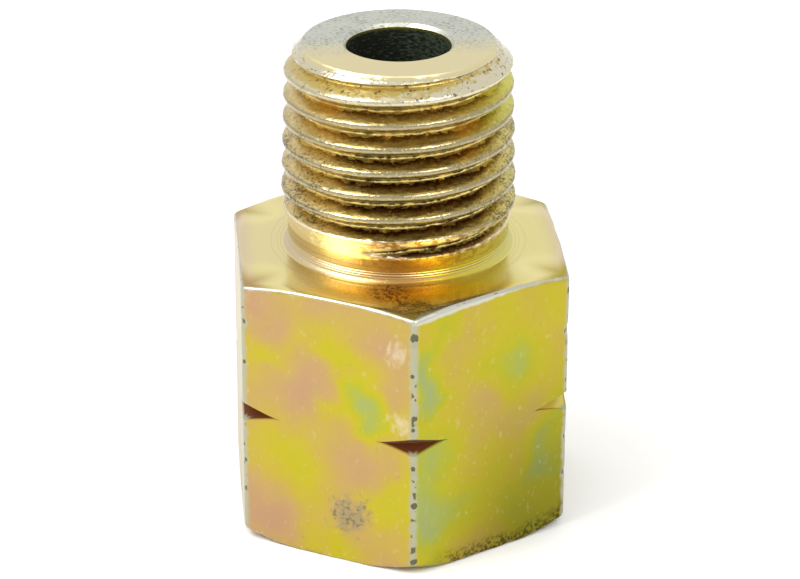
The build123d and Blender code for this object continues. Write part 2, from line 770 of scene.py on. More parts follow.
@dataclass
class MaleStub:
    """The neck, the shoulder and the tapered male thread."""

    hex_height: float
    tip_height: float
    neck_radius: float = 6.5
    neck_length: float = 1.4
    neck_round: float = 0.4
    shoulder_length: float = 1.5
    tip_crest_radius: float = 6.61
    taper: float = 1 / 32
    pitch: float = 25.4 / 18
    depth: float = 0.875
    crest_flat: float = 0.28
    root_flat: float = 0.12
    end_angle: float = -90.0
    end_height: float = 0.48
    run_out: float = 0.1
    tip_face_radius: float = 5.6
    tear: float = 0.022
    tear_scales: tuple[float, ...] = (1.7, 4.1)
    tear_start: float = 0.5
    neck_lines: tuple[float, ...] = (17.36, 17.22, 17.07, 16.92)
    line_width: float = 0.05
    line_depth: float = 0.04
    sink: float = 0.006
    root_depth: float = 1.5
    round_steps: int = 6

    @property
    def neck_top(self) -> float:
        """Height at which the neck ends."""
        return self.hex_height + self.neck_length

    @property
    def shoulder_top(self) -> float:
        """Height at which the thread's full cone begins."""
        return self.neck_top + self.shoulder_length

    @property
    def groove_height(self) -> float:
        """Height of the groove's centre line on the +X side, at its lowest full turn."""
        return self.neck_top + self.end_height - self.pitch * self.end_angle / 360

    @property
    def bevel_start(self) -> float:
        """Height at which the tip bevel leaves the thread's cone."""
        return self.tip_height - (self.tip_crest_radius - self.tip_face_radius) / (1 - self.taper)

    def cone(self, height: float) -> float:
        """Radius of the thread's crests at a height."""
        return self.tip_crest_radius + (self.tip_height - height) * self.taper

    def blank(self, height: float) -> float:
        """Radius of the turned blank at a height.

        Args:
            height: Height above the foot.

        Returns:
            The radius, with the shoulder and the tip bevel.
        """
        if height <= self.neck_top:
            return self.neck_radius
        if height < self.shoulder_top:
            share = (height - self.neck_top) / self.shoulder_length
            return self.neck_radius + share * (self.cone(self.shoulder_top) - self.neck_radius)
        bevel = self.tip_face_radius + max(0.0, self.tip_height - height)
        return min(self.cone(height), bevel)

    def wall_radius(self, radius: float, angle: float, height: float) -> float:
        """Final radius of a point of the swept thread.

        Args:
            radius: Radius in the straight sweep, where crests have the tip's radius.
            angle: Angle about the turning axis, in radians.
            height: Height above the foot.

        Returns:
            The tapered radius, with the run-out and the blank's own outline.
        """
        turn = round(helix_phase(angle, height, self.groove_height, self.pitch))
        here = turn + (angle - math.radians(self.end_angle)) / (2 * math.pi)
        run_out = self.depth * min(1.0, max(0.0, -here / self.run_out))
        cone = self.cone(height)
        grooved = cone + min(0.0, radius - self.tip_crest_radius + run_out)
        place = Vector((radius * math.cos(angle), radius * math.sin(angle), height))
        torn = self.tear * sum(noise.noise(place * scale) for scale in self.tear_scales)
        return min(grooved, self.blank(height)) + torn * min(1.0, (height - self.neck_top) / self.tear_start)

    def build(self) -> bpy.types.Object:
        """Make the stub.

        Returns:
            The stub as a closed solid in millimetres, its root inside the bar.
        """
        wall = ThreadedWall(
            name="male_stub",
            side=WallSide.INSIDE,
            crest_radius=self.tip_crest_radius,
            depth=self.depth,
            pitch=self.pitch,
            groove_height=self.groove_height,
            crest_flat=self.crest_flat,
            root_flat=self.root_flat,
            bottom=self.neck_top,
            top=self.tip_height,
            creases=(self.shoulder_top, self.bevel_start),
            radius_rule=self.wall_radius,
            steps=180,
        ).build()
        begin_edit(wall)
        middle = (self.neck_top + self.tip_height) / 2
        select_vertices(wall, lambda vertex: vertex.is_boundary and vertex.co.z > middle)
        bpy.ops.mesh.edge_face_add()
        select_vertices(wall, lambda vertex: vertex.is_boundary)
        extrude_rings(self.neck_radius, self.neck_top, self._neck_rings())
        bpy.ops.mesh.edge_face_add()
        bpy.ops.mesh.select_all(action="SELECT")
        bpy.ops.mesh.normals_make_consistent(inside=False)
        end_edit()
        return wall

    def _neck_outline(self, height: float) -> float:
        """Radius of the neck at a height, with its round foot and turned lines.

        Args:
            height: Height above the foot.

        Returns:
            The radius.
        """
        into = max(0.0, self.hex_height + self.neck_round - self.sink - height)
        foot = self.neck_round - math.sqrt(max(0.0, self.neck_round**2 - into**2))
        lines = [max(0.0, 1 - abs(height - line) / self.line_width) for line in self.neck_lines]
        return self.neck_radius + foot - self.line_depth * max(lines)

    def _neck_rings(self) -> list[tuple[float, float]]:
        """Radius and height of the neck's rings, down into the bar.

        Returns:
            The rings, from the top down.
        """
        heights = set()
        for line in self.neck_lines:
            heights |= {line + self.line_width, line, line - self.line_width}
        round_top = self.hex_height + self.neck_round - self.sink
        for step in range(self.round_steps + 1):
            angle = math.radians(90 * step / self.round_steps)
            heights.add(round_top - self.neck_round * math.sin(angle))
        rings = [(self._neck_outline(height), height) for height in sorted(heights, reverse=True)]
        rings.append((self.neck_radius + self.neck_round, self.hex_height - self.root_depth))
        return rings


@dataclass
class BoreTool:
    """The space inside the adapter: threaded port, drill point and passage."""

    tip_height: float
    passage_radius: float = 3.05
    passage_mouth_radius: float = 3.25
    port_minor_radius: float = 6.188
    port_major_radius: float = 7.0
    port_pitch: float = 1.5
    port_depth: float = 11.5
    port_thread_length: float = 9.4
    port_run_out: float = 0.8
    port_mouth_radius: float = 7.25
    drill_point: float = 118.0
    crest_flat: float = 0.375
    root_flat: float = 0.19
    overlap: float = 0.3

    def wall_radius(self, radius: float, angle: float, height: float) -> float:
        """Final radius of a point of the port's wall.

        Args:
            radius: Radius in the sweep, from the minor to the major one.
            angle: Angle about the turning axis, in radians; not used.
            height: Height above the foot.

        Returns:
            The radius with the mouth bevel and the thread's end.
        """
        fade = min(1.0, max(0.0, (self.port_thread_length - height) / self.port_run_out))
        depth = self.port_major_radius - self.port_minor_radius
        threaded = max(self.port_minor_radius, radius - depth * (1 - fade))
        return max(threaded, self.port_mouth_radius - height)

    def build(self) -> bpy.types.Object:
        """Make the tool.

        Returns:
            The space as a closed solid in millimetres.
        """
        mouth_top = self.port_mouth_radius - self.port_minor_radius
        wall = ThreadedWall(
            name="bore_tool",
            side=WallSide.OUTSIDE,
            crest_radius=self.port_minor_radius,
            depth=self.port_major_radius - self.port_minor_radius,
            pitch=self.port_pitch,
            groove_height=self.port_pitch,
            crest_flat=self.crest_flat,
            root_flat=self.root_flat,
            bottom=-self.overlap,
            top=self.port_thread_length,
            creases=(mouth_top,),
            radius_rule=self.wall_radius,
            steps=96,
            shares=(0, 0.33, 0.67, 1),
        ).build()
        begin_edit(wall)
        middle = self.port_thread_length / 2
        select_vertices(wall, lambda vertex: vertex.is_boundary and vertex.co.z < middle)
        bpy.ops.mesh.edge_face_add()
        select_vertices(wall, lambda vertex: vertex.is_boundary)
        extrude_rings(self.port_minor_radius, self.port_thread_length, self._passage_rings())
        bpy.ops.mesh.edge_face_add()
        bpy.ops.mesh.select_all(action="SELECT")
        bpy.ops.mesh.normals_make_consistent(inside=False)
        end_edit()
        return wall

    def _passage_rings(self) -> list[tuple[float, float]]:
        """Radius and height of the rings above the port's thread.

        Returns:
            The rings, from the bottom up.
        """
        half_point = math.radians(self.drill_point / 2)
        point_rise = (self.port_minor_radius - self.passage_radius) / math.tan(half_point)
        countersink = self.passage_mouth_radius - self.passage_radius
        return [
            (self.port_minor_radius, self.port_depth),
            (self.passage_radius, self.port_depth + point_rise),
            (self.passage_radius, self.tip_height - countersink),
            (self.passage_mouth_radius + self.overlap, self.tip_height + self.overlap),
        ]


@dataclass
class Adapter:
    """The whole adapter, one piece of metal."""

    low: Vector
    high: Vector
    hex_share: float = 16.7 / 29.0
    smooth_angle: float = 32.0
    bar: HexagonBar = field(init=False)
    stub: MaleStub = field(init=False)
    bore: BoreTool = field(init=False)

    def __post_init__(self) -> None:
        """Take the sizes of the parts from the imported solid's box, in metres."""
        total = (self.high.z - self.low.z) / MM
        hex_height = round(total * self.hex_share, 3)
        across_flats = (self.high.x - self.low.x) / MM
        self.bar = HexagonBar(height=hex_height, across_flats=across_flats)
        self.stub = MaleStub(hex_height=hex_height, tip_height=total)
        self.bore = BoreTool(tip_height=total)

    def build(self) -> bpy.types.Object:
        """Model the adapter.

        Returns:
            The finished mesh object, in metres.
        """
        body = self.bar.build()
        LOG.info("bar: %d faces", len(body.data.polygons))
        stub = self.stub.build()
        LOG.info("stub: %d faces", len(stub.data.polygons))
        combine(body, stub, BooleanKind.JOIN)
        bore = self.bore.build()
        LOG.info("bore tool: %d faces", len(bore.data.polygons))
        combine(body, bore, BooleanKind.CUT)
        body.name = "adapter"
        self._finish(body)
        return body

    def _finish(self, body: bpy.types.Object) -> None:
        """Bring the mesh to metres and set its shading.

        Args:
            body: The whole solid, in millimetres.
        """
        activate(body)
        body.scale = (MM, MM, MM)
        bpy.ops.object.transform_apply()
        bpy.ops.object.shade_smooth_by_angle(angle=math.radians(self.smooth_angle))
        weights = body.modifiers.new("even_normals", "WEIGHTED_NORMAL")
        weights.keep_sharp = True
        apply_modifier(body, weights)


Socket = bpy.types.NodeSocket
Outputs = bpy.types.bpy_prop_collection
Input = float | tuple | Socket
Colour = tuple[float, float, float]
Stops = Sequence[tuple[float, Colour]]
Span = tuple[float, float]


@dataclass(frozen=True)
class Cloud:
    """Noise times a factor, plus a shift, its scale in clouds to the unit of place."""

    scale: float
    detail: float
    factor: float
    shift: float
    distortion: float = 0.0


@dataclass(frozen=True)
class Speckle:
    """Noise cut to a mask, which is 0 at the start value and 1 at the end value."""

    scale: float
    detail: float
    start: float
    end: float


class NodeWriter:
    """Writes nodes into one tree, taking numbers or sockets as inputs."""

    def __init__(self, tree: bpy.types.NodeTree) -> None:
        """Start writing.

        Args:
            tree: The node tree to write into.
        """
        self.tree = tree

    def node(self, kind: str, inputs: dict[int | str, Input] | None = None, **options) -> bpy.types.Node:
        """Add a node.

        Args:
            kind: The node's type.
            inputs: Values or sockets for its inputs, by place or name.
            **options: Settings of the node itself.

        Returns:
            The new node.
        """
        node = self.tree.nodes.new(kind)
        for option, value in options.items():
            setattr(node, option, value)
        for key, value in (inputs or {}).items():
            if isinstance(value, Socket):
                self.tree.links.new(value, node.inputs[key])
            else:
                node.inputs[key].default_value = value
        return node

    def math(self, operation: str, *values: Input, clamp: bool = False) -> Socket:
        """Add a sum of one to three numbers."""
        node = self.node("ShaderNodeMath", dict(enumerate(values)), operation=operation, use_clamp=clamp)
        return node.outputs[0]

    def vector(self, operation: str, *values: Input) -> bpy.types.Node:
        """Add a sum of vectors."""
        return self.node("ShaderNodeVectorMath", dict(enumerate(values)), operation=operation)

    def times(self, first: Input, *factors: Input) -> Socket:
        """Multiply numbers, from the first to the last."""
        return reduce(lambda product, factor: self.math("MULTIPLY", product, factor), factors, first)

    def stretch(self, place: Socket, factors: tuple[float, float, float]) -> Socket:
        """Multiply a place by a factor on each axis."""
        return self.vector("MULTIPLY", place, factors).outputs[0]

    def radius(self, x: Socket, y: Socket) -> Socket:
        """Distance from the turning axis."""
        return self.vector("LENGTH", self.join(x, y, 0.0)).outputs["Value"]

    def split(self, vector: Socket) -> tuple[Socket, Socket, Socket]:
        """Take a vector apart."""
        x, y, z = self.node("ShaderNodeSeparateXYZ", {0: vector}).outputs
        return x, y, z

    def join(self, x: Input, y: Input, z: Input) -> Socket:
        """Put a vector together."""
        return self.node("ShaderNodeCombineXYZ", {0: x, 1: y, 2: z}).outputs[0]

    def fade(self, value: Input, start: float, end: float) -> Socket:
        """A soft step that is 0 at the start and 1 at the end."""
        inputs = {"Value": value, "From Min": start, "From Max": end}
        return self.node("ShaderNodeMapRange", inputs, interpolation_type="SMOOTHSTEP").outputs[0]

    def noise(self, place: Socket, scale: float, detail: float = 3, distortion: float = 0) -> Socket:
        """Cloudy noise from 0 to 1, its scale in clouds to the unit of place."""
        inputs = {"Vector": place, "Scale": scale, "Detail": detail, "Distortion": distortion}
        return self.node("ShaderNodeTexNoise", inputs).outputs["Fac"]

    def cloud(self, place: Socket, look: Cloud) -> Socket:
        """Add noise that varies about a value."""
        value = self.noise(place, look.scale, look.detail, look.distortion)
        return self.math("MULTIPLY_ADD", value, look.factor, look.shift)

    def speckle(self, place: Socket, look: Speckle) -> Socket:
        """Add specks with soft edges."""
        return self.fade(self.noise(place, look.scale, look.detail), look.start, look.end)

    def mix(self, share: Input, first: Input, second: Input) -> Socket:
        """Blend two colours.

        Args:
            share: Share of the second colour.
            first: The first colour.
            second: The second colour.

        Returns:
            The blended colour.
        """
        node = self.node("ShaderNodeMix", {0: share}, data_type="RGBA")
        for place, value in ((6, first), (7, second)):
            if isinstance(value, Socket):
                self.tree.links.new(value, node.inputs[place])
            else:
                node.inputs[place].default_value = (*value, 1)
        return node.outputs[2]

    def blend(self, share: Input, first: Input, second: Input) -> Socket:
        """Blend two numbers."""
        return self.node("ShaderNodeMix", {0: share, 2: first, 3: second}).outputs[0]

    def ramp(self, value: Socket, stops: Stops, interpolation: str = "B_SPLINE") -> Socket:
        """Turn a number into a colour by a row of stops.

        Args:
            value: The number.
            stops: Position and colour of each stop.
            interpolation: How the colours between stops are found.

        Returns:
            The colour.
        """
        node = self.node("ShaderNodeValToRGB", {0: value})
        node.color_ramp.interpolation = interpolation
        elements = node.color_ramp.elements
        while len(elements) < len(stops):
            elements.new(0.5)
        for element, (position, colour) in zip(elements, stops):
            element.position = position
            element.color = (*colour, 1)
        return node.outputs[0]


class Mask(Enum):
    """Kind of value that a node group gives or takes."""

    NUMBER = "NodeSocketFloat"
    COLOUR = "NodeSocketColor"
    PLACE = "NodeSocketVector"


class EffectGroup:
    """A node group that works out values from the place in millimetres."""

    name = "effect"
    outputs: dict[str, Mask] = {}

    def __init__(self) -> None:
        """Create the group and write its nodes."""
        self.tree = bpy.data.node_groups.new(self.name, "ShaderNodeTree")
        self.tree.interface.new_socket("Place", in_out="INPUT", socket_type=Mask.PLACE.value)
        for label, kind in self.outputs.items():
            self.tree.interface.new_socket(label, in_out="OUTPUT", socket_type=kind.value)
        self.write = NodeWriter(self.tree)
        place = self.write.node("NodeGroupInput").outputs["Place"]
        results = self.build(place)
        self.write.node("NodeGroupOutput", results)

    def build(self, place: Socket) -> dict[str, Socket]:
        """Write the nodes.

        Args:
            place: The place in millimetres.

        Returns:
            The socket for each output.
        """
        raise NotImplementedError

    def use(self, writer: NodeWriter, place: Socket) -> bpy.types.Node:
        """Put the group to use in a material.

        Args:
            writer: The writer of the material's tree.
            place: The place in millimetres.

        Returns:
            The group's node, with its outputs.
        """
        node = writer.node("ShaderNodeGroup", node_tree=self.tree)
        writer.tree.links.new(place, node.inputs["Place"])
        return node


@dataclass(frozen=True)
class Spot:
    """A round patch on the surface, in millimetres, and how strongly it acts."""

    place: tuple[float, float, float]
    reach: float
    amount: float = 1.0


def add_spots(write: NodeWriter, place: Socket, spots: Sequence[Spot], start: Input) -> Socket:
    """Add soft round patches to a value.

    Args:
        write: The writer of the tree.
        place: The place in millimetres.
        spots: The patches.
        start: The value that they are added to.

    Returns:
        The sum.
    """
    total = start
    for spot in spots:
        away = write.vector("DISTANCE", place, spot.place).outputs["Value"]
        total = write.math("MULTIPLY_ADD", write.fade(away, spot.reach, 0.0), spot.amount, total)
    return total


class BarWear(EffectGroup):
    """Wear and grime along the hexagon's edges, with painted shade on the foot bevel and a painted grazing
    sheen on the -X flat.
    """

    name = "bar_wear"
    outputs = {
        "Edge": Mask.NUMBER,
        "Rim": Mask.NUMBER,
        "Lip": Mask.NUMBER,
        "Nick": Mask.NUMBER,
        "Grime": Mask.NUMBER,
        "Mark": Mask.NUMBER,
        "End": Mask.NUMBER,
        "Pale": Mask.NUMBER,
        "Scuff": Mask.NUMBER,
        "Gouge": Mask.NUMBER,
    }
    scuffs = (
        Spot((-0.9, -10.5, 14.1), 1.3),
        Spot((-0.8, -10.6, 9.7), 1.2),
    )
    gouges = (Spot((-3.5, -8.9, 3.1), 2.3),)
    edge_band = (0.24, 0.3)
    rim_band = (0.12, 0.16)
    foot_band = (0.04, 0.12)
    mark_top = (9.3, 9.1)
    mark_bottom = (7.5, 7.7)
    mark_inset = (0.03, 0.15)
    side_inset = (0.34, 0.14)
    front_start = (-0.4, 0.6)
    front_end = (8.0, 3.0)
    front_lift = 0.24
    # Where the -X flat gets its pale painted grazing sheen.
    sheen_flat = (-9.3, -9.46)
    # Where the painted shade on the foot bevel reaches.
    lip_reach = (0.05, 0.02)
    lip_height = (0.75, 0.6)
    ragged = Cloud(1.7, 4, 1.0, -0.5)
    ragged_share = 1.6
    nick_corner = (0.22, 0.1)
    nick_rim = (0.1, 0.04)
    nick_chance = Speckle(1.7, 5, 0.59, 0.63)
    nick_share = 0.7
    nick_stretch = (1.0, 1.0, 0.5)
    nick_rough = Cloud(4.4, 6, 2.0, 0.0)
    nick_cut = (0.42, 0.6)
    dirt_reach = Cloud(0.5, 3, 2.2, -0.4)
    dirt_fade = (0.6, -0.5)
    dirt = Speckle(4.6, 5, 0.4, 0.58)
    dirt_side = (0.8, 3.5)
    dirt_patches = Speckle(0.13, 1, 0.52, 0.6)
    scrape_stretch = (1.0, 1.0, 0.6)
    scrape_cut = (1.4, 2.3)
    specks = Speckle(5.2, 2, 0.72, 0.8)
    chips = Speckle(5.0, 3, 0.6, 0.66)
    chip_reach = (0.55, 0.1)
    chip_side = (0.5, -1.5)
    gouge_cut = (1.25, 1.9)

    def __init__(self, bar: HexagonBar) -> None:
        """Create the group.

        Args:
            bar: The hexagon bar whose edges wear.
        """
        self.bar = bar
        super().__init__()

    def build(self, place: Socket) -> dict[str, Socket]:
        """Write the nodes.

        Args:
            place: The place in millimetres.

        Returns:
            The socket for each output.
        """
        w, bar = self.write, self.bar
        x, y, z = w.split(place)
        half, tall = math.cos(math.radians(SIDE_ANGLE)), math.sin(math.radians(SIDE_ANGLE))
        rise = w.times(y, tall)
        flats = [
            w.math("ABSOLUTE", x),
            w.math("ABSOLUTE", w.math("MULTIPLY_ADD", x, half, rise)),
            w.math("ABSOLUTE", w.math("MULTIPLY_ADD", x, -half, rise)),
        ]
        largest = w.math("MAXIMUM", flats[0], w.math("MAXIMUM", flats[1], flats[2]))
        smallest = w.math("MINIMUM", flats[0], w.math("MINIMUM", flats[1], flats[2]))
        total = w.math("ADD", flats[0], w.math("ADD", flats[1], flats[2]))
        middle = w.math("SUBTRACT", w.math("SUBTRACT", total, largest), smallest)
        corner = w.math("DIVIDE", w.math("SUBTRACT", largest, middle), tall)
        inset = w.math("SUBTRACT", bar.apothem, largest)
        radius = w.radius(x, y)
        rim = self._gap(radius, bar.end_diameter / 2, bar.end_bevel, w.math("SUBTRACT", bar.height, z))
        foot = self._gap(radius, bar.foot_diameter / 2, bar.foot_bevel, z)
        rim = w.math("MAXIMUM", rim, inset)
        foot = w.math("MAXIMUM", foot, inset)
        rough = w.cloud(place, self.ragged)
        on_side = w.fade(inset, *self.side_inset)
        edge = w.times(self._band(corner, rough, *self.edge_band), on_side)
        wide = w.times(w.fade(x, *self.front_start), w.fade(x, *self.front_end))
        lifted = w.math("MULTIPLY_ADD", wide, -self.front_lift, rim)
        rim_band = self._band(lifted, rough, *self.rim_band)
        rims = w.math("MAXIMUM", rim_band, self._band(foot, rough, *self.foot_band))
        # Painted shade: a dark line on the foot bevel stands in for the contact shadow at the floor.
        foot_shade = w.times(w.fade(foot, *self.lip_reach), w.fade(z, *self.lip_height))
        on_bar = w.fade(z, bar.height + 0.12, bar.height + 0.02)
        in_mark = w.times(w.fade(z, *self.mark_top), w.fade(z, *self.mark_bottom))
        in_mark = w.times(in_mark, w.fade(inset, *self.mark_inset))
        end = w.times(w.fade(z, bar.height - 0.25, bar.height - 0.02), on_bar)
        nick = w.times(self._nicks(place, corner, rim), w.times(on_side, on_bar))
        return {
            "Edge": edge,
            "Rim": w.times(rims, on_bar),
            "Lip": foot_shade,
            "Nick": nick,
            "Grime": self._grime(place, x, foot),
            "Mark": in_mark,
            "End": end,
            "Pale": w.times(w.fade(x, *self.sheen_flat), on_bar),
            "Scuff": w.times(self._scuffs(place, x, foot), on_bar),
            "Gouge": self._gouges(place),
        }

    def _gap(self, radius: Socket, start: float, bevel: float, height: Socket) -> Socket:
        """Distance of a place from a bevelled end.

        Args:
            radius: Distance from the turning axis.
            start: Radius at which the bevel starts.
            bevel: Slope of the bevel, in degrees.
            height: Distance from the end's flat face.

        Returns:
            The distance, measured upright.
        """
        w = self.write
        past = w.math("MAXIMUM", w.math("SUBTRACT", radius, start), 0.0)
        return w.math("MULTIPLY_ADD", past, -math.tan(math.radians(bevel)), height)

    def _band(self, gap: Socket, rough: Socket, width: float, spread: float) -> Socket:
        """A ragged band along an edge."""
        ragged = self.write.math("MULTIPLY_ADD", rough, spread * self.ragged_share, gap)
        return self.write.fade(ragged, width + spread / 2, width - spread / 2)

    def _nicks(self, place: Socket, corner: Socket, rim: Socket) -> Socket:
        """Dark nicks on the upright edges and the rim.

        Args:
            place: The place in millimetres.
            corner: Distance from the nearest upright edge.
            rim: Distance from the upper rim.

        Returns:
            The mask of them.
        """
        w = self.write
        near = w.math("MAXIMUM", w.fade(corner, *self.nick_corner), w.fade(rim, *self.nick_rim))
        spots = [Spot(nick.place, nick.reach * self.nick_share) for nick in self.bar.nicks]
        broken = w.cloud(w.stretch(place, self.nick_stretch), self.nick_rough)
        nicked = w.fade(w.times(add_spots(w, place, spots, 0.0), broken), *self.nick_cut)
        return w.math("MAXIMUM", w.times(near, w.speckle(place, self.nick_chance)), nicked)

    def _grime(self, place: Socket, x: Socket, foot: Socket) -> Socket:
        """Speckled dirt above the foot.

        Args:
            place: The place in millimetres.
            x: The place's X.
            foot: Distance from the foot's rim.

        Returns:
            The mask of it.
        """
        w = self.write
        low = w.fade(w.math("SUBTRACT", foot, w.cloud(place, self.dirt_reach)), *self.dirt_fade)
        patchy = w.math("MAXIMUM", w.fade(x, *self.dirt_side), w.speckle(place, self.dirt_patches))
        return w.times(low, w.speckle(place, self.dirt), patchy)

    def _scuffs(self, place: Socket, x: Socket, foot: Socket) -> Socket:
        """Pale scrapes, scattered specks and chips above the foot.

        Args:
            place: The place in millimetres.
            x: The place's X.
            foot: Distance from the foot's rim.

        Returns:
            The mask of them.
        """
        w = self.write
        brushed = w.noise(w.stretch(place, self.scrape_stretch), 3.0, 4)
        scraped = w.math("MULTIPLY_ADD", brushed, 2.4, add_spots(w, place, self.scuffs, 0.0))
        low = w.times(w.fade(foot, *self.chip_reach), w.fade(x, *self.chip_side))
        chips = w.times(w.speckle(place, self.chips), low)
        small = w.math("MAXIMUM", w.speckle(place, self.specks), chips)
        return w.math("MAXIMUM", w.fade(scraped, *self.scrape_cut), small)

    def _gouges(self, place: Socket) -> Socket:
        """Rough grey patches where the film is torn off.

        Args:
            place: The place in millimetres.

        Returns:
            The mask of them.
        """
        w = self.write
        torn = w.math("MULTIPLY_ADD", w.noise(place, 2.6, 5), 2.0, add_spots(w, place, self.gouges, 0.0))
        return w.fade(torn, *self.gouge_cut)


class ThreadZones(EffectGroup):
    """Where a place lies on the male thread, the neck and the tip."""

    name = "thread_zones"
    outputs = {
        "Thread": Mask.NUMBER,
        "Depth": Mask.NUMBER,
        "Phase": Mask.NUMBER,
        "Neck": Mask.NUMBER,
        "Tip": Mask.NUMBER,
        "Bore": Mask.NUMBER,
        "Along": Mask.PLACE,
    }

    def __init__(self, stub: MaleStub, bore: BoreTool) -> None:
        """Create the group.

        Args:
            stub: The stub that carries the thread.
            bore: The space inside the adapter.
        """
        self.stub = stub
        self.bore = bore
        super().__init__()

    def build(self, place: Socket) -> dict[str, Socket]:
        """Write the nodes.

        Args:
            place: The place in millimetres.

        Returns:
            The socket for each output.
        """
        w, stub, bore = self.write, self.stub, self.bore
        x, y, z = w.split(place)
        radius = w.radius(x, y)
        angle = w.math("DIVIDE", w.math("ARCTAN2", y, x), 2 * math.pi)
        turns = w.math("DIVIDE", w.math("SUBTRACT", z, stub.groove_height), stub.pitch)
        turns = w.math("SUBTRACT", turns, angle)
        phase = w.math("SUBTRACT", w.math("FRACT", w.math("ADD", turns, 0.5)), 0.5)
        cone = w.math("MULTIPLY_ADD", z, -stub.taper, stub.cone(0.0))
        widening = (stub.cone(stub.shoulder_top) - stub.neck_radius) / stub.shoulder_length
        shoulder = w.math("MULTIPLY_ADD", z, widening, stub.neck_radius - widening * stub.neck_top)
        bevel = w.math("SUBTRACT", stub.tip_face_radius + stub.tip_height, z)
        blank = w.math("MINIMUM", w.math("MINIMUM", cone, shoulder), bevel)
        depth = w.math("DIVIDE", w.math("SUBTRACT", blank, radius), stub.depth)
        above = w.fade(z, stub.neck_top - 0.02, stub.neck_top + 0.1)
        outside = w.fade(radius, 4.9, 5.2)
        below_tip = w.fade(z, stub.tip_height - 0.02, stub.tip_height - 0.1)
        thread = w.times(above, outside, below_tip)
        neck = w.times(w.fade(z, stub.hex_height - 0.03, stub.hex_height + 0.05), outside)
        neck = w.times(neck, w.math("SUBTRACT", 1.0, above))
        within_face = w.fade(radius, stub.tip_face_radius, stub.tip_face_radius - 0.2)
        inside = w.times(within_face, w.fade(z, bore.tip_height - 0.2, bore.tip_height - 0.4))
        within_mouth = w.fade(radius, bore.port_mouth_radius + 0.15, bore.port_mouth_radius - 0.05)
        port = w.times(within_mouth, w.fade(z, bore.port_depth + 2.5, bore.port_depth + 2.1))
        around = w.times(angle, 2 * math.pi * stub.neck_radius)
        along = w.join(around, radius, w.times(turns, stub.pitch))
        return {
            "Thread": thread,
            "Depth": depth,
            "Phase": phase,
            "Neck": neck,
            "Tip": w.fade(z, stub.tip_height - 0.25, stub.tip_height - 0.15),
            "Bore": w.math("MAXIMUM", inside, port),
            "Along": along,
        }


class FilmColour(EffectGroup):
    """Colours of the passivated film, which change with its thickness."""

    name = "film_colour"
    outputs = {"Colour": Mask.COLOUR}
    stops = (
        (0.00, (0.43, 0.25, 0.15)),
        (0.24, (0.45, 0.30, 0.115)),
        (0.42, (0.46, 0.34, 0.06)),
        (0.56, (0.46, 0.395, 0.02)),
        (0.68, (0.39, 0.385, 0.025)),
        (0.82, (0.31, 0.36, 0.10)),
        (1.00, (0.26, 0.32, 0.21)),
    )
    clouds = (
        Spot((-8.5, -6.1, 14.5), 2.6, -0.22),
        Spot((-7.4, -6.7, 12.6), 3.0, 0.1),
        Spot((-4.3, -8.5, 14.2), 2.6, 0.26),
        Spot((-5.8, -7.6, 11.0), 3.0, -0.3),
        Spot((-2.6, -9.5, 12.3), 2.6, 0.28),
        Spot((-2.9, -9.3, 10.1), 2.4, 0.58),
        Spot((-1.4, -10.2, 9.9), 2.4, 0.14),
        Spot((-4.8, -8.2, 9.5), 1.6, 0.2),
        Spot((-7.6, -6.6, 6.2), 4.0, 0.17),
        Spot((-3.1, -9.2, 6.4), 2.6, -0.16),
        Spot((-1.5, -10.2, 4.0), 3.8, 0.3),
        Spot((-8.3, -6.2, 2.6), 3.6, -0.3),
        Spot((-4.0, -8.7, 0.7), 3.0, 0.34),
        Spot((-1.5, -10.2, 14.8), 2.0, -0.2),
        Spot((1.8, -10.0, 15.0), 2.4, 0.14),
        Spot((0.6, -10.7, 13.2), 2.0, 0.34),
        Spot((0.7, -10.6, 11.2), 2.0, 0.42),
        Spot((6.3, -7.4, 12.4), 3.2, 0.22),
        Spot((1.1, -10.4, 6.7), 2.8, 0.16),
        Spot((1.4, -10.2, 3.7), 2.6, 0.27),
        Spot((5.0, -8.1, 8.0), 5.0, -0.02),
        Spot((8.4, -6.1, 4.6), 3.0, 0.16),
    )
    drift_scale = 0.45
    drift_reach = 1.2
    coarse = Cloud(0.2, 1, 0.7, -0.03)
    fine = Cloud(0.45, 2, 0.24, -0.12, 0.5)
    right_side = (-0.3, 0.3)
    right_thicker = 0.2

    def build(self, place: Socket) -> dict[str, Socket]:
        """Write the nodes.

        Args:
            place: The place in millimetres.

        Returns:
            The socket for each output.
        """
        w, reach = self.write, self.drift_reach
        x, _, _ = w.split(place)
        settings = {"Vector": place, "Scale": self.drift_scale, "Detail": 1}
        drift = w.node("ShaderNodeTexNoise", settings).outputs["Color"]
        drift = w.vector("MULTIPLY_ADD", drift, (2 * reach,) * 3, (-reach,) * 3).outputs[0]
        drifted = w.vector("ADD", place, drift).outputs[0]
        thickness = w.math("ADD", w.cloud(drifted, self.coarse), w.cloud(place, self.fine))
        side = w.times(w.fade(x, *self.right_side), self.right_thicker)
        thickness = w.math("ADD", thickness, side)
        thickness = add_spots(w, drifted, self.clouds, thickness)
        return {"Colour": w.ramp(thickness, self.stops)}


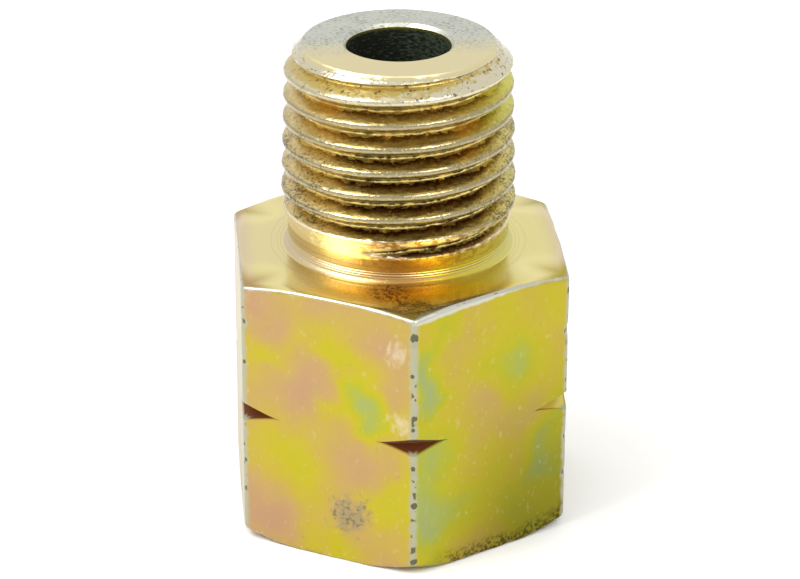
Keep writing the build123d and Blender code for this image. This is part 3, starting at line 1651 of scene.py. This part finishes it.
@dataclass(frozen=True)
class PlatedSteel:
    """Zinc plate with a yellow passivated film, worn bare on its edges; in places its colour also carries
    painted shade, painted highlights and painted reflections.
    """

    name: str = "plated_steel"
    edge: Colour = (0.38, 0.37, 0.25)
    rim: Colour = (0.52, 0.51, 0.43)
    # Pale colour for the painted grazing sheen on the -X flat.
    pale: Colour = (0.50, 0.52, 0.50)
    end: Colour = (0.80, 0.70, 0.30)
    end_corner: Colour = (0.70, 0.55, 0.38)
    # Painted reflections on the front of the end face: orange for the neck, dark brown for the thread's
    # underside.
    end_front_reflection: Colour = (0.86, 0.60, 0.05)
    end_dark_reflection: Colour = (0.20, 0.08, 0.02)
    scuff: Colour = (0.64, 0.57, 0.42)
    gouge: Colour = (0.36, 0.29, 0.16)
    # Painted light in the mark groove: its upper wall pale, its lower wall dark red-brown in front and
    # yellow on the right, for how the walls catch and reflect light.
    mark_upper: Colour = (0.62, 0.45, 0.32)
    mark_lower: Colour = (0.13, 0.045, 0.018)
    mark_right: Colour = (0.62, 0.52, 0.10)
    nick: Colour = (0.09, 0.085, 0.055)
    grime: Colour = (0.10, 0.08, 0.01)
    # Near-black painted shade inside the port and passage, with lighter drill marks.
    bore: Colour = (0.03, 0.035, 0.025)
    bore_streak: Colour = (0.11, 0.14, 0.09)
    crest: Colour = (0.35, 0.30, 0.18)
    shoulder: Colour = (0.80, 0.70, 0.48)
    shoulder_line: Colour = (0.34, 0.22, 0.08)
    bevel: Colour = (0.64, 0.59, 0.42)
    start_gold: Colour = (0.55, 0.42, 0.14)
    side_green: Colour = (0.60, 0.58, 0.08)
    side_brown: Colour = (0.48, 0.29, 0.06)
    stain: Colour = (0.34, 0.16, 0.05)
    speck: Colour = (0.12, 0.09, 0.03)
    # Colour of the painted glint specks along the thread.
    glint_speck: Colour = (0.80, 0.70, 0.36)
    tip_front: Colour = (0.70, 0.61, 0.35)
    tip_rear: Colour = (0.56, 0.57, 0.50)
    tip_pit: Colour = (0.22, 0.23, 0.18)
    # Where the end face carries its painted dark reflection of the thread's underside.
    dark_reflection_spots: tuple[Spot, ...] = (Spot((-1.2, -7.7, 16.7), 1.9), Spot((0.3, -9.8, 16.7), 1.8))
    warm_spots: tuple[Spot, ...] = (Spot((3.8, -5.0, 25.5), 2.2), Spot((-4.6, -4.2, 26.6), 2.0))
    neck_width: float = 13.0
    highlight_line_zone: Span = (17.5, 17.4)
    scored_zone: Span = (17.6, 17.8)
    scored_side: Span = (1.0, -3.0)
    stain_zone: Span = (17.4, 17.8)
    stain_middle: float = 1.4
    stain_width: Span = (5.4, 2.4)
    shoulder_zone: Span = (19.6, 19.3)
    shoulder_gloss_zone: Span = (19.5, 19.2)
    groove_middle: Span = (8.28, 8.38)
    groove_right: Span = (5.5, 7.5)
    upper_zone: Span = (23.8, 26.0)
    start_zone: Span = (27.2, 28.0)
    # Where the bar's film colour is darkened as painted shade: towards its lower right, and a little over
    # its right side.
    shade_across: Span = (0.5, 7.0)
    shade_down: Span = (14.0, 1.0)
    right_side: Span = (-0.3, 0.5)
    # Where the thread's painted front shade and glint lie: the middle of the front.
    front_middle: float = 0.6
    front_width: Span = (5.8, 3.4)
    front_depth: Span = (2.0, -2.0)
    green_side: Span = (2.0, 5.2)
    crest_depth: Span = (0.12, 0.03)
    tip_rear_zone: Span = (-2.5, 1.5)
    tip_pit_zone: Span = (-2.8, 0.5)
    gouge_specks: Speckle = Speckle(4.0, 5, 0.5, 0.62)
    end_rings: Speckle = Speckle(5.0, 3, 0.48, 0.6)
    end_flecks: Speckle = Speckle(5.0, 4, 0.46, 0.6)
    turned_lines: Speckle = Speckle(6.0, 3, 0.52, 0.62)
    neck_lines: Speckle = Speckle(9.0, 1, 0.5, 0.6)
    thread_glints: Speckle = Speckle(6.4, 3, 0.6, 0.7)
    start_specks: Speckle = Speckle(3.6, 5, 0.58, 0.66)
    pits: Speckle = Speckle(4.5, 4, 0.66, 0.72)
    grain: Cloud = Cloud(2.4, 5, 1.0, -0.5)
    sway: Cloud = Cloud(1.1, 5, 0.3, 0.35)
    tearing: Cloud = Cloud(0.7, 3, 0.5, -0.25)
    tip_patches: Cloud = Cloud(0.8, 2, 0.3, -0.15)
    gloss: Cloud = Cloud(0.6, 4, 0.2, 0.28)
    grain_stretch: tuple[float, float, float] = (1.0, 1.0, 1.8)
    sway_stretch: tuple[float, float, float] = (0.7, 1.0, 0.5)
    drill_stretch: tuple[float, float, float] = (1.0, 1.0, 3.4)
    tip_stretch: tuple[float, float, float] = (1.0, 2.2, 1.0)
    speck_share: float = 0.6
    pale_share: float = 0.45
    scuff_share: float = 0.5
    nick_share: float = 0.9
    relief_depth: float = 0.012
    # Painted light on the thread's front, by turn from crest (0) through the root (near 0.45) back to the
    # crest. The dark brown near the root on the upward flank is painted shade with some real darker film.
    # The bright yellow band at the root is a painted glint. The near-black crest undersides are painted
    # shade.
    thread_front_shade_and_glint: Stops = (
        (0.00, (0.31, 0.26, 0.14)),
        (0.08, (0.30, 0.24, 0.11)),
        (0.14, (0.36, 0.26, 0.07)),
        (0.24, (0.52, 0.37, 0.09)),
        (0.29, (0.38, 0.23, 0.04)),
        (0.34, (0.20, 0.08, 0.01)),
        (0.39, (0.12, 0.04, 0.005)),
        (0.42, (0.95, 0.78, 0.28)),
        (0.49, (0.95, 0.78, 0.28)),
        (0.53, (0.05, 0.025, 0.003)),
        (0.88, (0.05, 0.025, 0.003)),
        (0.93, (0.34, 0.28, 0.16)),
    )
    # Colours of the thread by turn at its sides and back: plating tone, with a painted glint band at the
    # root, a painted darker band just below it, and somewhat darker crest undersides as painted shade.
    thread_side_tone_and_glint: Stops = (
        (0.00, (0.50, 0.42, 0.21)),
        (0.12, (0.50, 0.40, 0.18)),
        (0.25, (0.64, 0.49, 0.22)),
        (0.35, (0.54, 0.38, 0.13)),
        (0.39, (0.38, 0.24, 0.05)),
        (0.43, (0.80, 0.61, 0.22)),
        (0.50, (0.76, 0.58, 0.22)),
        (0.58, (0.42, 0.31, 0.10)),
        (0.85, (0.44, 0.34, 0.13)),
        (1.00, (0.50, 0.42, 0.25)),
    )
    # Neck colours across X; the dark brown middle is a painted reflection of the bar's front corner.
    neck: Stops = (
        (0.00, (0.56, 0.46, 0.30)),
        (0.16, (0.70, 0.53, 0.28)),
        (0.30, (0.66, 0.46, 0.18)),
        (0.42, (0.46, 0.25, 0.07)),
        (0.54, (0.40, 0.21, 0.05)),
        (0.62, (0.55, 0.35, 0.04)),
        (0.76, (0.58, 0.48, 0.04)),
        (1.00, (0.60, 0.56, 0.16)),
    )

    def material(self, bar: HexagonBar, stub: MaleStub, bore: BoreTool) -> bpy.types.Material:
        """Build the material.

        Args:
            bar: The hexagon bar.
            stub: The threaded stub.
            bore: The space inside.

        Returns:
            The new material.
        """
        material = bpy.data.materials.new(self.name)
        material.use_nodes = True
        w = NodeWriter(material.node_tree)
        shader = material.node_tree.nodes["Principled BSDF"]
        shader.inputs["Metallic"].default_value = 1.0
        metres = w.node("ShaderNodeTexCoord").outputs["Object"]
        place = w.vector("SCALE", metres)
        place.inputs["Scale"].default_value = 1 / MM
        place = place.outputs[0]
        wear = BarWear(bar).use(w, place).outputs
        zones = ThreadZones(stub, bore).use(w, place).outputs
        film = FilmColour().use(w, place).outputs
        colour = self._bar_colour(w, place, wear, film["Colour"])
        colour = self._stub_colour(w, place, zones, colour)
        # Painted shade inside the bore and port.
        colour = w.mix(zones["Bore"], colour, self._bore_shade_colour(w, place))
        w.tree.links.new(colour, shader.inputs["Base Color"])
        w.tree.links.new(self._roughness(w, place, wear, zones), shader.inputs["Roughness"])
        w.tree.links.new(self._relief(w, place, wear, zones), shader.inputs["Normal"])
        return material

    def _bar_colour(self, w: NodeWriter, place: Socket, wear: Outputs, film: Socket) -> Socket:
        """Colour of the hexagon bar.

        Args:
            w: The writer of the material's tree.
            place: The place in millimetres.
            wear: Outputs of the bar's wear group.
            film: Colour of the film.

        Returns:
            The colour.
        """
        x, _, z = w.split(place)
        # Painted shade: the film colour is darkened towards the lower right of the bar and a little over its
        # whole right side.
        dull = w.times(w.fade(x, *self.shade_across), w.fade(z, *self.shade_down))
        dull = w.math("MULTIPLY_ADD", dull, -0.42, 1.0)
        dull = w.math("MULTIPLY_ADD", w.fade(x, *self.right_side), -0.06, dull)
        shade = w.vector("SCALE", film)
        w.tree.links.new(dull, shade.inputs["Scale"])
        # Painted reflection: the -X flat is turned pale as a grazing sheen.
        colour = w.mix(w.times(wear["Pale"], self.pale_share), shade.outputs[0], self.pale)
        colour = w.mix(wear["Gouge"], colour, self._speckled(w, place, self.gouge))
        colour = w.mix(wear["End"], colour, self._end_colour(w, place))
        colour = w.mix(wear["Grime"], colour, self.grime)
        colour = w.mix(w.times(wear["Scuff"], self.scuff_share), colour, self.scuff)
        # Painted light in the groove: pale upper wall, dark red-brown lower wall, yellow lower wall on the
        # right.
        lower = w.mix(w.fade(x, *self.groove_right), self.mark_lower, self.mark_right)
        marked = w.mix(w.fade(z, *self.groove_middle), lower, self.mark_upper)
        colour = w.mix(wear["Mark"], colour, marked)
        colour = w.mix(wear["Edge"], colour, self.edge)
        colour = w.mix(wear["Rim"], colour, self.rim)
        # Painted shade on the foot bevel, in the nick colour.
        colour = w.mix(w.times(wear["Lip"], self.nick_share), colour, self.nick)
        return w.mix(w.times(wear["Nick"], self.nick_share), colour, self.nick)

    def _speckled(self, w: NodeWriter, place: Socket, colour: Input) -> Socket:
        """A colour with fine dark specks."""
        return w.mix(w.times(w.speckle(place, self.gouge_specks), self.speck_share), colour, self.speck)

    def _end_colour(self, w: NodeWriter, place: Socket) -> Socket:
        """Colour of the end face round the neck, with painted reflections of the neck and thread on its
        front part.

        Args:
            w: The writer of the material's tree.
            place: The place in millimetres.

        Returns:
            The colour.
        """
        x, y, _ = w.split(place)
        colour = w.mix(w.fade(w.math("ABSOLUTE", x), 8.2, 9.6), self.end, self.end_corner)
        radius = w.radius(x, y)
        rings = w.speckle(w.join(radius, 0.0, 0.0), self.end_rings)
        rings = w.times(rings, w.fade(radius, 8.6, 7.2))
        colour = w.mix(w.times(rings, 0.35), colour, self.start_gold)
        # Painted reflection: the front of the end face is painted orange, as the neck seen in it.
        near_front = w.times(w.fade(y, -6.0, -7.4), w.fade(radius, 10.4, 8.4))
        colour = w.mix(near_front, colour, self.end_front_reflection)
        flecks = w.speckle(place, self.end_flecks)
        # Painted reflection: flecked dark brown patches at the front stand in for the thread's dark
        # underside seen in the end face.
        spotted = add_spots(w, place, self.dark_reflection_spots, 0.0)
        return w.mix(w.times(w.fade(spotted, 0.05, 0.6), flecks), colour, self.end_dark_reflection)

    def _bore_shade_colour(self, w: NodeWriter, place: Socket) -> Socket:
        """Colour inside: near-black painted shade, with lighter drill marks.

        Args:
            w: The writer of the material's tree.
            place: The place in millimetres.

        Returns:
            The colour.
        """
        x, _, _ = w.split(place)
        marks = w.noise(w.stretch(place, self.drill_stretch), 3.0, 8)
        marks = w.fade(w.math("MULTIPLY_ADD", w.fade(x, -1.0, 2.5), 0.14, marks), 0.5, 0.72)
        return w.mix(marks, self.bore, self.bore_streak)

    def _stub_colour(self, w: NodeWriter, place: Socket, zones: Outputs, under: Socket) -> Socket:
        """Colour of the neck, the thread and the tip, over the bar's.

        Args:
            w: The writer of the material's tree.
            place: The place in millimetres.
            zones: Outputs of the thread's group.
            under: Colour of the bar.

        Returns:
            The colour.
        """
        x, y, z = w.split(place)
        grain = w.cloud(w.stretch(zones["Along"], self.grain_stretch), self.grain)
        wavy = w.math("MULTIPLY_ADD", w.noise(zones["Along"], 0.8, 2), 0.12, z)
        turned = w.speckle(w.join(0.0, 0.0, wavy), self.turned_lines)
        aside = w.math("ABSOLUTE", w.math("SUBTRACT", x, self.stain_middle))
        stained = w.fade(aside, *self.stain_width)
        stained = w.times(stained, w.fade(w.math("MULTIPLY_ADD", turned, 0.1, grain), -0.06, 0.1))
        shoulder = w.mix(w.times(turned, 0.8), self.shoulder, self.shoulder_line)
        shoulder = w.mix(w.times(stained, 0.85), shoulder, self.stain)
        on_shoulder = w.times(w.fade(z, *self.shoulder_zone), w.fade(zones["Depth"], 0.2, 0.06))
        thread = w.mix(on_shoulder, self._thread_colour(w, place, zones, grain), shoulder)
        colour = w.mix(zones["Neck"], under, self._neck_colour(w, place, turned, stained))
        colour = w.mix(zones["Thread"], colour, thread)
        return w.mix(zones["Tip"], colour, self._tip_colour(w, place, y))

    def _thread_colour(self, w: NodeWriter, place: Socket, zones: Outputs, grain: Socket) -> Socket:
        """Colour of the thread, with painted shade and a painted glint in its front grooves, and torn at its
        sides.

        Args:
            w: The writer of the material's tree.
            place: The place in millimetres.
            zones: Outputs of the thread's group.
            grain: Noise along the thread, about 0.

        Returns:
            The colour.
        """
        x, y, z = w.split(place)
        # Mask of the front middle, which gets the painted shade and glint.
        aside = w.math("ABSOLUTE", w.math("SUBTRACT", x, self.front_middle))
        middle = w.fade(w.math("MULTIPLY_ADD", grain, 4.0, aside), *self.front_width)
        middle = w.times(middle, w.fade(y, *self.front_depth))
        upper = w.fade(z, *self.upper_zone)
        sway = w.cloud(w.stretch(zones["Along"], self.sway_stretch), self.sway)
        turn = w.math("ADD", w.math("MULTIPLY_ADD", grain, 0.25, zones["Phase"]), sway)
        # Side colours: plating tone with a painted root glint and milder painted shade.
        side = w.ramp(turn, self.thread_side_tone_and_glint, "LINEAR")
        green = w.times(w.fade(x, *self.green_side), w.math("MULTIPLY_ADD", upper, 0.55, 0.35))
        side = w.mix(green, side, self.side_green)
        # Painted shade and glint in front, over the side colours.
        thread = w.mix(middle, side, w.ramp(turn, self.thread_front_shade_and_glint, "LINEAR"))
        thread = w.mix(w.times(upper, 0.3), thread, side)
        warm = w.math("ADD", add_spots(w, place, self.warm_spots, 0.0), grain)
        warm = w.times(w.fade(warm, 0.05, 0.9), w.fade(turn, 0.1, 0.3))
        thread = w.mix(w.times(warm, 0.75), thread, self.side_brown)
        thread = w.mix(w.fade(zones["Depth"], *self.crest_depth), thread, self.crest)
        thread = w.mix(self._specks(w, zones, x, upper), thread, self.speck)
        # Painted glints: bright specks scattered along the thread.
        lit = w.speckle(zones["Along"], self.thread_glints)
        thread = w.mix(w.times(lit, self.speck_share), thread, self.glint_speck)
        return w.mix(w.fade(z, *self.start_zone), thread, self._start_colour(w, zones, grain))

    def _neck_colour(self, w: NodeWriter, place: Socket, turned: Socket, stained: Socket) -> Socket:
        """Colour of the neck, banded across with a dark brown middle painted as a reflection, its low turned
        lines painted pale as highlights, scored and stained.

        Args:
            w: The writer of the material's tree.
            place: The place in millimetres.
            turned: Mask of the turned lines.
            stained: Mask of the stains in front.

        Returns:
            The colour.
        """
        x, _, z = w.split(place)
        # Banded across X, with a painted dark reflection in the middle.
        neck = w.ramp(w.math("MULTIPLY_ADD", x, 1 / self.neck_width, 0.5), self.neck)
        # Painted highlight: the turned lines low on the neck are painted pale.
        lines = w.speckle(w.join(0.0, 0.0, z), self.neck_lines)
        neck = w.mix(w.times(lines, w.fade(z, *self.highlight_line_zone), 0.6), neck, self.bevel)
        scored = w.times(turned, w.times(w.fade(z, *self.scored_zone), w.fade(x, *self.scored_side)))
        neck = w.mix(w.times(scored, 0.6), neck, self.shoulder_line)
        return w.mix(w.times(stained, w.fade(z, *self.stain_zone), 0.6), neck, self.stain)

    def _specks(self, w: NodeWriter, zones: Outputs, x: Socket, upper: Socket) -> Socket:
        """Dark specks in the torn lower threads, thickest at the sides.

        Args:
            w: The writer of the material's tree.
            zones: Outputs of the thread's group.
            x: The place's X.
            upper: Mask of the upper threads.

        Returns:
            The mask of them.
        """
        sides = w.math("MULTIPLY_ADD", w.fade(w.math("ABSOLUTE", x), 3.4, 6.0), 0.1, -0.03)
        sides = w.math("MULTIPLY_ADD", w.fade(x, 4.6, 6.2), 0.05, sides)
        torn = w.cloud(zones["Along"], self.tearing)
        chance = w.math("ADD", w.noise(zones["Along"], 6.6, 6), w.math("ADD", sides, torn))
        specks = w.fade(chance, 0.56, 0.7)
        return w.times(specks, w.math("MULTIPLY_ADD", upper, -0.7, 0.85))

    def _start_colour(self, w: NodeWriter, zones: Outputs, grain: Socket) -> Socket:
        """Colour of the tip bevel and the first groove.

        Args:
            w: The writer of the material's tree.
            zones: Outputs of the thread's group.
            grain: Noise along the thread, about 0.

        Returns:
            The colour.
        """
        deep = w.math("ADD", zones["Depth"], grain)
        colour = w.mix(w.fade(deep, 0.1, 0.34), self.bevel, self.start_gold)
        specks = w.speckle(zones["Along"], self.start_specks)
        return w.mix(w.times(specks, 0.8), colour, self.speck)

    def _tip_colour(self, w: NodeWriter, place: Socket, y: Socket) -> Socket:
        """Colour of the tip face, pitted at the rear.

        Args:
            w: The writer of the material's tree.
            place: The place in millimetres.
            y: The place's Y.

        Returns:
            The colour.
        """
        tip = w.mix(w.fade(y, *self.tip_rear_zone), self.tip_front, self.tip_rear)
        pitted = w.noise(w.stretch(place, self.tip_stretch), 4.0, 7)
        patchy = w.cloud(place, self.tip_patches)
        pitted = w.times(w.fade(w.math("ADD", pitted, patchy), 0.5, 0.66), w.fade(y, *self.tip_pit_zone))
        return w.mix(w.times(pitted, 0.8), tip, self.tip_pit)

    def _roughness(self, w: NodeWriter, place: Socket, wear: Outputs, zones: Outputs) -> Socket:
        """Roughness, with a satin bar, shiny crests and neck and a dull bore.

        Args:
            w: The writer of the material's tree.
            place: The place in millimetres.
            wear: Outputs of the bar's wear group.
            zones: Outputs of the thread's group.

        Returns:
            The roughness, from 0 to 1.
        """
        rough = w.blend(wear["End"], w.cloud(place, self.gloss), 0.18)
        rough = w.blend(zones["Neck"], rough, 0.27)
        worn = w.math("MULTIPLY_ADD", w.fade(zones["Depth"], 0.04, 0.2), 0.16, 0.14)
        worn = w.blend(w.fade(w.split(place)[2], *self.shoulder_gloss_zone), worn, 0.36)
        rough = w.blend(zones["Thread"], rough, worn)
        rough = w.blend(wear["Grime"], rough, 0.7)
        rough = w.blend(wear["Gouge"], rough, 0.6)
        return w.blend(zones["Bore"], rough, 0.7)

    def _relief(self, w: NodeWriter, place: Socket, wear: Outputs, zones: Outputs) -> Socket:
        """Fine relief: pits, chatter in the thread and turning marks.

        Args:
            w: The writer of the material's tree.
            place: The place in millimetres.
            wear: Outputs of the bar's wear group.
            zones: Outputs of the thread's group.

        Returns:
            The bent normal.
        """
        x, y, _ = w.split(place)
        radius = w.radius(x, y)
        rings = w.noise(w.join(radius, 0.0, 0.0), 9.0, 4)
        chatter = w.noise(w.stretch(zones["Along"], self.grain_stretch), 3.0, 6)
        skin = w.noise(place, 2.2, 5)
        pits = w.speckle(place, self.pits)
        height = w.math("MULTIPLY_ADD", pits, -0.5, w.times(skin, 0.5))
        torn = w.times(wear["Gouge"], w.noise(place, 5.0, 4), 3.0)
        height = w.math("ADD", height, torn)
        height = w.blend(wear["End"], height, w.times(rings, 0.5))
        height = w.blend(zones["Thread"], height, w.times(chatter, 3.0))
        height = w.blend(zones["Tip"], height, w.times(w.noise(place, 3.0, 5), 0.8))
        depth = self.relief_depth * MM
        bump = w.node("ShaderNodeBump", {"Height": height, "Distance": depth, "Strength": 1.0})
        return bump.outputs[0]


def main() -> None:
    """Build the scene in order and report each piece."""
    logging.basicConfig(level=logging.INFO, format="%(message)s")
    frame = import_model()
    low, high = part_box(CAD_NODE)
    LOG.info("frame: %s", sorted(frame["nodes"]))
    PhotoCamera().place()
    Studio().build(aim=(low + high) / 2)
    design = Adapter(low=low, high=high)
    adapter = design.build()
    adapter.data.materials.clear()
    adapter.data.materials.append(PlatedSteel().material(design.bar, design.stub, design.bore))
    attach(adapter, CAD_BODY)
    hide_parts(CAD_NODE)
    LOG.info("adapter: %d faces", len(adapter.data.polygons))
    low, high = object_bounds()


if __name__ == "__main__":
    main()
